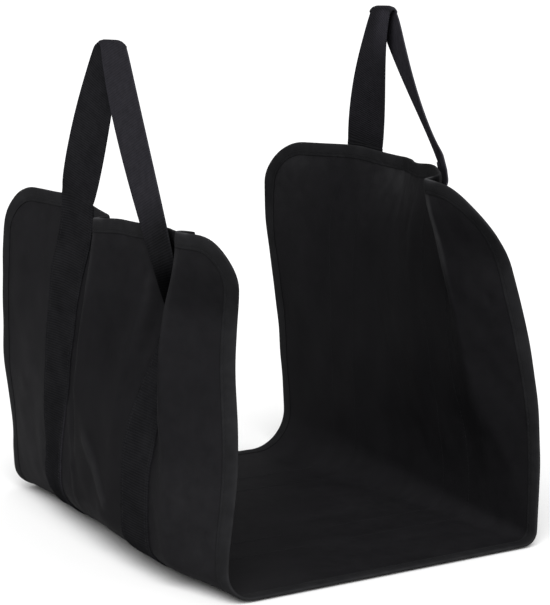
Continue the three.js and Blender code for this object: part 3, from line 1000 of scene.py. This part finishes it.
def leg_wear_and_painted_light(sewn, free, leg):
    """Wear of a strap's rows, with a painted sheen over its free leg and painted shade where the leg comes
    out of a pleat.
    """
    up = (np.arange(len(sewn) + len(free))[:, None] - len(sewn) + 1.0) * WEBBING_STEP
    # Painted sheen: the free leg is painted paler for the light it catches.
    painted_sheen = leg["painted_sheen"] * fade(up, leg["seam_end"], leg["seam_end"] + PAINTED_SHEEN_OVER)
    # Painted shade where the leg comes out of the pleat, darkest at its front edge.
    in_pleat = fade(up, *PLEAT_DARKENS) * (1.0 - fade(up, *PLEAT_LIGHTENS))
    in_pleat = (leg["seam_end"] > 0) * in_pleat * (PLEAT_SHADE - PLEAT_SLOPE * EDGES / EDGES[-1])
    # Front edge of the strap low on the wall: worn, with a painted highlight along it.
    rubbed_and_lit = leg["rubbed_and_lit"] * fade(-up, *PALE_EDGE_STARTS) * (1.0 - fade(-up, *PALE_EDGE_ENDS)) * (EDGES < 0)
    border = near(EDGES[-1] - np.abs(EDGES), BORDER_WIDTH) * (BORDER_WEAR + rubbed_and_lit)
    chafed = BULGE_WEAR * leg["bulge"] * near(up + BULGE_DOWN, BULGE_SPREAD)
    below_top = len(free) * WEBBING_STEP - up
    held = leg["held"] * (1.0 - fade(below_top, *GRIP_ENDS)) * fade(EDGES, *GRIP_ACROSS)
    return painted_sheen + border + chafed + held - in_pleat


def webbing_grid(side):
    """Places on the middle of a strap, from the floor up its front leg, over the top and down its rear leg,
    with its UVs and its wear and painted light and shade."""
    wall, handle = WALLS[side], HANDLES[side]
    front = sewn_rows(wall, -WEBBING_AT, handle["front"])
    rear = sewn_rows(wall, WEBBING_AT, handle["rear"])
    middle = len(EDGES) // 2
    roll = roll_rows(wall, handle, front[-1][middle], rear[-1][middle])
    front_leg, front_bias = leg_rows(wall, front, roll[0], handle["front"])
    rear_leg, rear_bias = leg_rows(wall, rear, roll[-1], handle["rear"])
    points = np.concatenate([front, front_leg, roll, rear_leg[::-1], rear[::-1]])
    ahead = np.linspace(front_bias[-1], -rear_bias[-1], len(roll))
    ahead = np.concatenate([0 * front[..., 0], front_bias, ahead, -rear_bias[::-1], 0 * rear[..., 0]])
    steps = np.linalg.norm(np.diff(points[:, middle], axis=0), axis=-1)
    along = np.concatenate([[0.0], np.cumsum(steps)])[:, None]
    from_crease = along - along[len(front) + len(front_leg) + len(roll) // 2]
    points[..., 2] -= CREASE_DROOP * (EDGES / EDGES[-1]) ** CREASE_CURL * near(from_crease, CREASE_REACH)
    uvs = np.stack(np.broadcast_arrays(EDGES[None, :], along + ahead), axis=-1)
    front_wear_and_light = leg_wear_and_painted_light(front, front_leg, handle["front"])
    rear_wear_and_light = leg_wear_and_painted_light(rear, rear_leg, handle["rear"])
    # Painted sheen over the turn at the top, between the two legs' amounts.
    roll_painted_sheen = np.linspace(handle["front"]["painted_sheen"], handle["rear"]["painted_sheen"], len(roll))[:, None]
    wear_and_painted_light = np.concatenate([front_wear_and_light, roll_painted_sheen + 0 * roll[..., 0], rear_wear_and_light[::-1]])
    return points, uvs, wear_and_painted_light


WEBBING_DARK = (0.0056, 0.0056, 0.0061, 1)
WEBBING_LIGHT = (0.0116, 0.0116, 0.0127, 1)
# Colour of worn webbing, also used for the sheen and highlight painted on it.
WEBBING_WORN_AND_LIT = (0.034, 0.0325, 0.0395, 1)
WEBBING_ROUGHNESS = 0.58
RIB = 2.5  # pitch of the ribs along the webbing
CORD = 2.4  # pitch of the cords across it


def webbing_material():
    material, surface, start = cloth_material("ribbed_webbing", 0.0)
    across, along = pattern_places(start, 1.0, 1.0)
    place = start.node("ShaderNodeTexCoord", None, None, output="Object")
    mottle = blotches(start, place, 160.0, 1.2)
    ribs = (along * (2 * math.pi / RIB)).sine()
    cords = (across * (2 * math.pi / CORD)).sine()
    tone = blotches(start, place, 35.0, 1.2) + mottle * 0.7 + ribs * 0.17 + 0.5
    base = tone.mix(WEBBING_DARK, WEBBING_LIGHT)
    link(surface, "Base Color", tinted(start, base, WEBBING_WORN_AND_LIT, mottle * 0.3 + 0.45))
    link(surface, "Roughness", mottle * 0.2 + WEBBING_ROUGHNESS)
    height = ribs + ribs * cords * 0.5 + mottle
    woven(start, surface, height, 0.55, 0.35)
    return material


webbing = webbing_material()
for side in WALLS:
    strap = sheet_object(f"{side}_webbing", *webbing_grid(side), WEBBING_THICK, rounding=0.5)
    strap.data.materials.append(webbing)
    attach(strap, "root")
    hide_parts(f"{side}_strap")

# Webbing stitches: the same thread, sewn along both edges of each strap and across the top of its seam, so
# it shows on the webbing and inside the carrier.
SEAM_INSET = 4.0
SEAM_TOP = 14.0  # how far below the top edge or the end of the seam a row of stitches crosses the strap
SEAM_FLOOR_END = 20.0  # how far from the floor's middle line the seams stop
OUTSIDE_DOWN = 330.0  # how far down the stitches show outside, since under the floor they are pressed flat
INNER_SEAM_RISE = 0.1
OUTER_SEAM_RISE = 0.05


def seam_rows():
    """Rows of stitches along both edges of each sewn strap and across its end, outside and inside."""
    rows = []
    reach = WEBBING_WIDTH / 2 - SEAM_INSET
    for side, wall in WALLS.items():
        for centre, leg in ((-WEBBING_AT, HANDLES[side]["front"]), (WEBBING_AT, HANDLES[side]["rear"])):
            top = max(leg["seam_end"], 0.0) + SEAM_TOP
            lengthwise = np.arange(top, wall["run"] - SEAM_FLOOR_END, 2.0)
            lines = [(lengthwise, centre + edge + 0 * lengthwise) for edge in (-reach, reach)]
            crosswise = np.linspace(centre - reach, centre + reach, 15)
            lines.append((top + 0 * crosswise, crosswise))
            for down, across in lines:
                outwards = cloth_normal(wall, down, across)
                inner = cloth(wall, down, across, -PANEL_THICK / 2 - INNER_SEAM_RISE)
                rows.append((inner, -outwards))
                rise = webbing_rise(down, leg["bulge"]) + WEBBING_THICK / 2 + OUTER_SEAM_RISE
                outer = cloth(wall, down, across, rise)
                shown = down < OUTSIDE_DOWN
                rows.append((outer[shown], outwards[shown]))
    return rows


webbing_stitches = stitched("webbing_stitches", seam_rows())
webbing_stitches.data.materials.append(thread_material)
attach(webbing_stitches, "root")

PANEL_LENGTH * MM

# Studio: a wide pale floor under soft light from above and the left, seen from the front left.
scene = bpy.context.scene
scene.view_settings.view_transform = "Standard"

bpy.ops.object.select_all(action="DESELECT")
bpy.ops.mesh.primitive_plane_add(size=2000, location=(0, 0, -0.0004))
floor = bpy.context.object
floor.name = "studio_floor"
floor_material = bpy.data.materials.new("pale_floor")
floor_material.use_nodes = True
floor_surface = floor_material.node_tree.nodes["Principled BSDF"]
floor_surface.inputs["Base Color"].default_value = (0.75, 0.75, 0.75, 1)
floor_surface.inputs["Roughness"].default_value = 0.9
floor_surface.inputs["Specular IOR Level"].default_value = 0.0
floor.data.materials.append(floor_material)

world = bpy.data.worlds.new("studio_light")
world.use_nodes = True
sky = world.node_tree.nodes["Background"]
sky.inputs["Color"].default_value = (1, 1, 1, 1)
sky.inputs["Strength"].default_value = 0.65
scene.world = world

SUN_FROM = np.array([-0.35, -0.6, 0.72])
bpy.ops.object.light_add(type="SUN", location=SUN_FROM * 3)
sun = bpy.context.object
sun.name = "key_light"
sun.data.energy = 4.0
sun.data.angle = math.radians(50)
sun_tilt = math.acos(SUN_FROM[2] / np.linalg.norm(SUN_FROM))
sun.rotation_euler = (sun_tilt, 0, math.atan2(SUN_FROM[1], SUN_FROM[0]) + math.pi / 2)

# The camera's place in metres, how far it turns from +Y towards +X and how far it looks down, and its focal
# length in the photograph's own pixels.
CAMERA_PLACE = (-0.8967, -1.524, 0.5225)
CAMERA_TURN = 31.0
CAMERA_DOWN = 9.7
FOCAL_PIXELS = 1800.0
PICTURE_HEIGHT = 605.0
bpy.ops.object.camera_add(
    location=CAMERA_PLACE,
    rotation=(math.radians(90 - CAMERA_DOWN), 0, -math.radians(CAMERA_TURN)),
)
camera = bpy.context.object
camera.data.sensor_width = 36.0
camera.data.lens = FOCAL_PIXELS * camera.data.sensor_width / PICTURE_HEIGHT
scene.camera = camera
